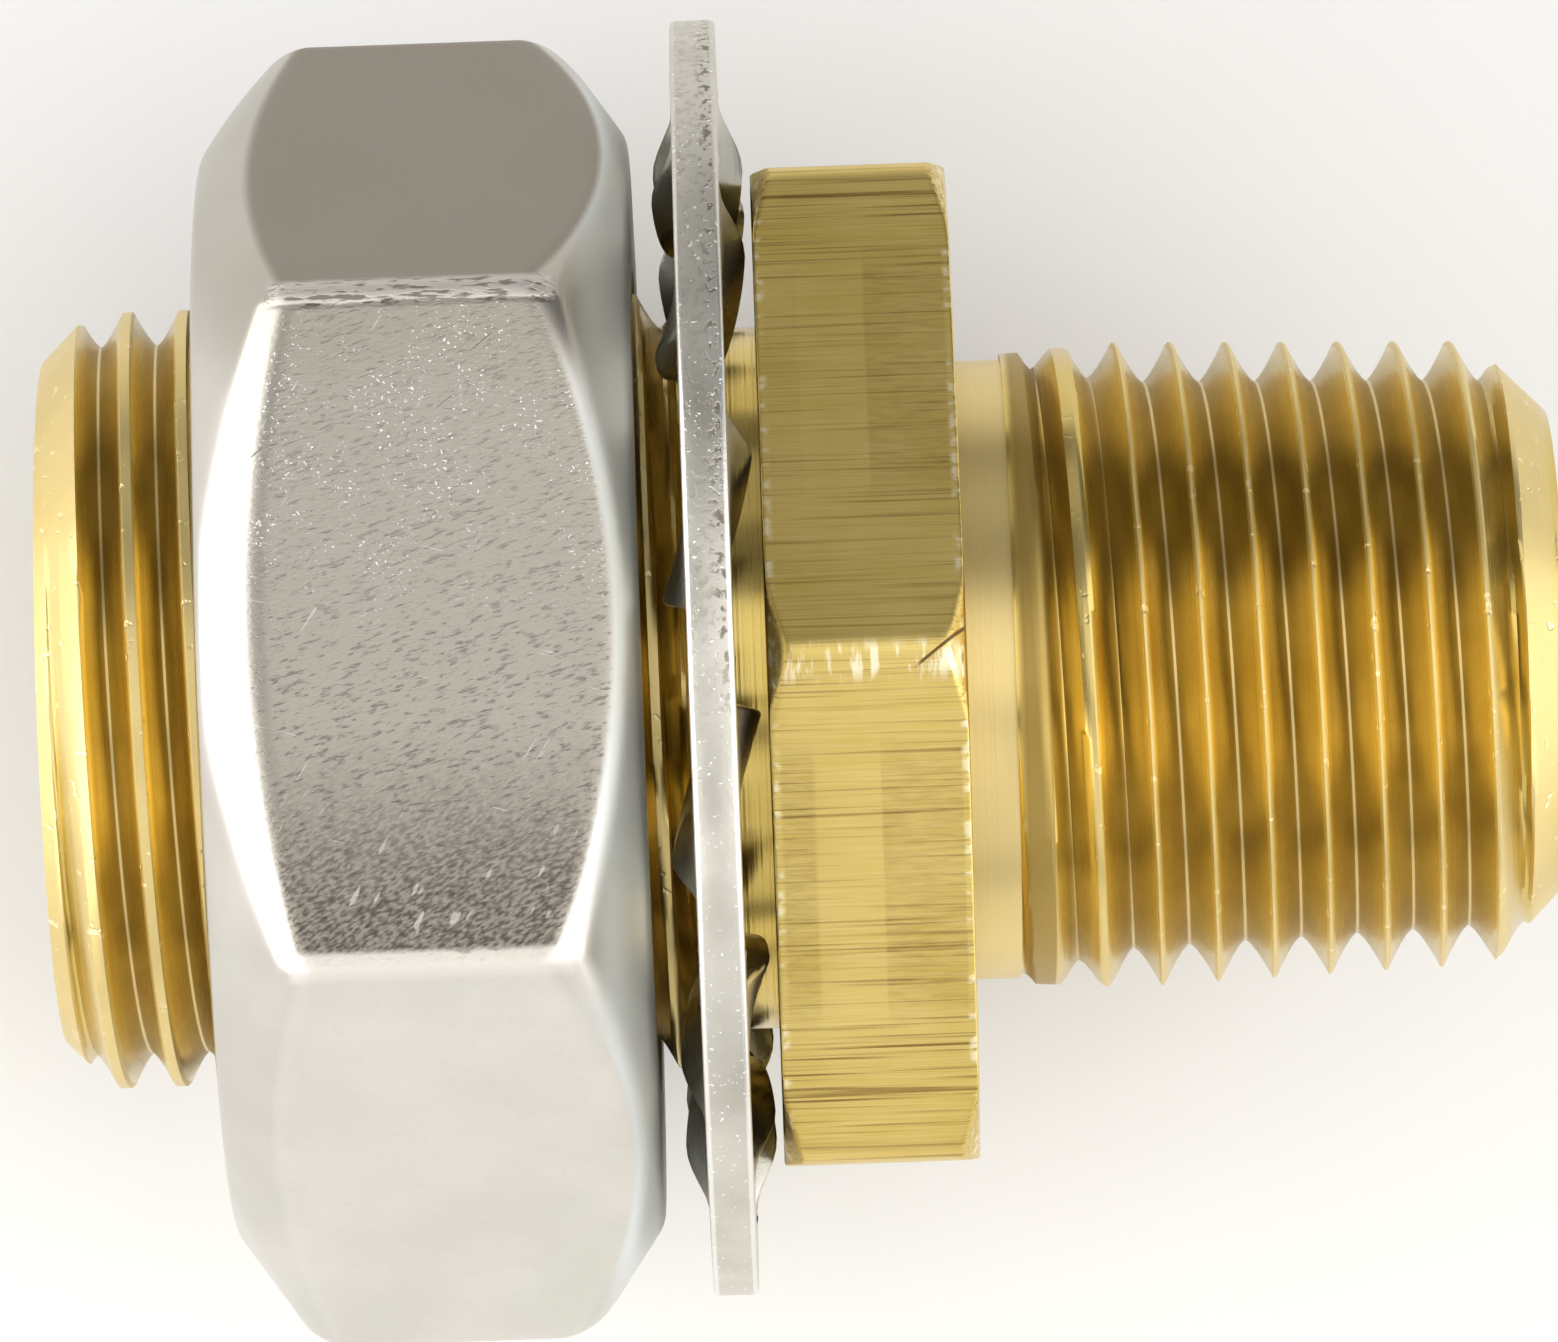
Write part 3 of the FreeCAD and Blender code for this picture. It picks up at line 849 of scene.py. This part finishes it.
brass = brass_material()
nut_plate = nut_material()
washer_plate = washer_material()

# Edges that bend by more than this many degrees stay sharp
SHARP_EDGE = 40
SHARP_WASHER_EDGE = 50

make_piece("brass_body", body_grids(), "fitting", "fitting_body", brass, SHARP_EDGE)
make_piece("hexagon_lock_nut", nut_grids(), "nut", "lock_nut", nut_plate, SHARP_EDGE)
make_piece(
    "toothed_washer", washer_grids(), "washer", "lock_washer", washer_plate,
    SHARP_WASHER_EDGE,
)

# Camera, looking down on the part with its axis rising a little to the right
VIEW_ELEVATION = math.radians(83.8)
VIEW_ROLL = math.radians(2.04)
VIEW_DISTANCE = 390.0
VIEW_LENS = 277.2
VIEW_SENSOR = 36
VIEW_NEAREST = 10.0
VIEW_RIGHT_OF_ORIGIN = 0.381
VIEW_ABOVE_ORIGIN = 0.195

ahead = Vector((0, math.cos(VIEW_ELEVATION), -math.sin(VIEW_ELEVATION)))
right = Vector((1, 0, 0))
above = right.cross(ahead)
camera_data = bpy.data.cameras.new("camera")
camera_data.lens = VIEW_LENS
camera_data.sensor_width = VIEW_SENSOR
camera_data.clip_start = VIEW_NEAREST * MM
camera = bpy.data.objects.new("camera", camera_data)
bpy.context.scene.collection.objects.link(camera)
aim = right * VIEW_RIGHT_OF_ORIGIN + above * VIEW_ABOVE_ORIGIN
turned = Matrix((right, above, -ahead)).transposed() @ Matrix.Rotation(-VIEW_ROLL, 3, "Z")
camera.matrix_world = Matrix.Translation((aim - ahead * VIEW_DISTANCE) * MM) @ turned.to_4x4()
bpy.context.scene.camera = camera


def soft_box(name, place, width, height, radiance):
    """Rectangular lamp that faces the part; its power is the radiance times pi times its area, in metres."""
    lamp = bpy.data.lights.new(name, "AREA")
    lamp.shape = "RECTANGLE"
    lamp.size = width
    lamp.size_y = height
    lamp.energy = radiance * math.pi * width * height
    box = bpy.data.objects.new(name, lamp)
    box.location = place
    box.rotation_euler = (-Vector(place)).to_track_quat("-Z", "Y").to_euler()
    bpy.context.scene.collection.objects.link(box)


soft_box("key_box", place=(0.04, -0.33, 0.23), width=0.8, height=0.42, radiance=0.85)
soft_box("top_box", place=(0.03, 0.0, 0.42), width=0.3, height=0.24, radiance=1.25)
soft_box("back_box", place=(0, 0.36, 0.21), width=0.4, height=0.2, radiance=0.35)
soft_box("left_box", place=(-0.29, -0.03, 0.15), width=0.54, height=0.42, radiance=2.6)
soft_box("right_box", place=(0.26, -0.05, 0.15), width=0.4, height=0.48, radiance=1.7)

STUDIO_GREY = (0.22, 0.22, 0.22, 1)
world = bpy.data.worlds.new("studio")
world.use_nodes = True
world.node_tree.nodes["Background"].inputs["Color"].default_value = STUDIO_GREY
bpy.context.scene.world = world

# Floor paper; its glow starts and is full at these distances from the origin, in metres
PAPER = (0.85, 0.84, 0.82, 1)
PAPER_ROUGHNESS = 0.9
PAPER_GLOW = (0.75, 0.74, 0.72, 1)
NO_GLOW = (0, 0, 0, 1)
GLOW_REACH = (0.12, 0.5)


def paper_material():
    """Pale paper that past the reach of the lamps is shown as pale as it is round the part."""
    material = bpy.data.materials.new("floor_paper")
    material.use_nodes = True
    tree = material.node_tree
    shader = tree.nodes["Principled BSDF"]
    shader.inputs["Base Color"].default_value = PAPER
    shader.inputs["Roughness"].default_value = PAPER_ROUGHNESS
    shader.inputs["Emission Strength"].default_value = 1
    wire = Wire(tree)
    place = wire.node("TexCoord", {}, {}, "Object")
    distance = wire.node("VectorMath", {"operation": "LENGTH"}, {0: place}, "Value")
    camera_ray, glossy_ray, clear_ray = (
        wire.node("LightPath", {}, {}, f"Is {kind} Ray") for kind in ("Camera", "Glossy", "Transmission")
    )
    seen_far = distance.rise(*GLOW_REACH) * (camera_ray + glossy_ray + clear_ray)
    glow = seen_far.mix(NO_GLOW, PAPER_GLOW)
    tree.links.new(glow.socket, shader.inputs["Emission Color"])
    return material


# Floor: the plane on which the part comes to rest, under the washer's rim and the nut's outer edge
FLOOR_REACH = 1500.0
NUT_REST_INSET = 0.7

rest_x = nut_low[0] + NUT_REST_INSET
floor_slope = (nut_low[2] - washer_low[2]) / (WASHER_MIDDLE[0] - rest_x)
floor_x, floor_y = np.meshgrid([-FLOOR_REACH, FLOOR_REACH], [-FLOOR_REACH, FLOOR_REACH])
floor_z = washer_low[2] - floor_slope * (floor_x - WASHER_MIDDLE[0])
floor_points = np.stack([floor_x, floor_y, floor_z], -1).reshape(-1, 3) * MM
floor_mesh = bpy.data.meshes.new("floor")
floor_mesh.from_pydata(floor_points.tolist(), [], [(0, 1, 3, 2)])
floor_mesh.materials.append(paper_material())
floor = bpy.data.objects.new("floor", floor_mesh)
bpy.context.scene.collection.objects.link(floor)

bpy.context.scene.view_settings.view_transform = "Standard"

bpy.context.view_layer.update()
